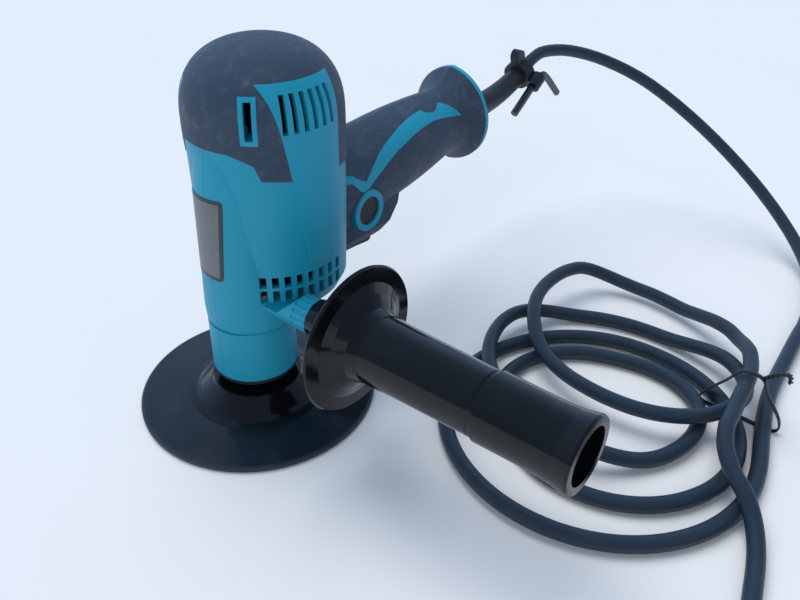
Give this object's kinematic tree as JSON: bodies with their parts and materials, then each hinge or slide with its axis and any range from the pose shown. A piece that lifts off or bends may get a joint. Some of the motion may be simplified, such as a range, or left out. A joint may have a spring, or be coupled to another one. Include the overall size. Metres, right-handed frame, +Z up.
{
  "type": "rotary disc polisher",
  "caption": "Upright corded rotary polisher with a rubber backing pad, soft-gripped rear handle with trigger, screw-in side handle and a tied mains cord.",
  "frame": {"origin": "middle of the pad face on the spindle axis, on the table the tool stands on", "axes": "+Z up along the spindle, +X towards the rear handle, -Y along the side handle as it is fitted"},
  "size_m": [0.4489, 0.3635, 0.1817],
  "materials": {
    "teal": "moulded, fine grain",
    "elastomer": "matte soft overmould",
    "black": "satin black moulding",
    "gloss_black": "polished black moulding",
    "pad_rubber": "smooth black rubber",
    "die_cast": "die cast",
    "steel": "ground steel",
    "dark_steel": "black oxide",
    "laminated": "stacked sheet",
    "enamelled": "varnished copper wire",
    "copper": "turned copper",
    "bronze": "sintered",
    "carbon": "pressed carbon",
    "cord": "satin jacket",
    "tie": "clear wire tie"
  },
  "bodies": {
    "tool": {"housing_left": "teal", "housing_right": "teal", "cap_left": "elastomer", "cap_right": "elastomer", "grip_left": "elastomer", "grip_right": "elastomer", "nose_ring": "black", "housing_screws": "steel", "gear_case": "die_cast", "gear_cover": "die_cast", "gear_screws": "steel", "spindle_bearing": "steel", "spindle_bush": "bronze", "field_core": "laminated", "field_coils": "enamelled", "motor_bearing_low": "steel", "motor_bearing_top": "steel", "baffle": "black", "brush_holders": "copper", "brushes": "carbon", "switch_body": "black", "trigger_spring": "steel", "lock_spring": "steel", "side_grip": "gloss_black", "side_stud": "steel", "cord_guard": "black", "cord_lead": "cord", "cord_coil": "cord", "cord_tail": "cord", "cord_tie": "tie", "plug_body": "black", "plug_blades": "copper", "key_holder": "black", "hex_key": "dark_steel"},
    "spindle_group": {"spindle": "steel", "spindle_gear": "steel", "pad": "pad_rubber", "pad_hub": "gloss_black", "pad_washer": "steel", "pad_bolt": "dark_steel"},
    "armature": {"armature_shaft": "steel", "armature_core": "laminated", "armature_winding": "enamelled", "commutator": "copper", "fan": "black"},
    "trigger": {"trigger": "black"},
    "lock": {"lock_button": "black"}
  },
  "joints": [
    {"name": "motor_spin", "type": "hinge", "parent": "tool", "child": "armature", "pos_m": [0.0205, 0, 0.1], "axis": [0, 0, 1], "continuous": true},
    {"name": "spindle_spin", "type": "hinge", "parent": "tool", "child": "spindle_group", "pos_m": [0, 0, 0], "axis": [0, 0, 1], "continuous": true},
    {"name": "trigger_squeeze", "type": "slide", "parent": "tool", "child": "trigger", "axis": [0, 0, 1], "range_m": [0, 0.006], "stiffness_N_per_m": 500, "springref_m": -0.004, "deforming": ["trigger_spring"]},
    {"name": "lock_press", "type": "slide", "parent": "tool", "child": "lock", "axis": [0, 1, 0], "range_m": [0, 0.004], "stiffness_N_per_m": 400, "springref_m": -0.004, "deforming": ["lock_spring"]}
  ],
  "couplings": [
    {"joint": "spindle_spin", "follows": "motor_spin", "ratio": -0.21951}
  ]
}
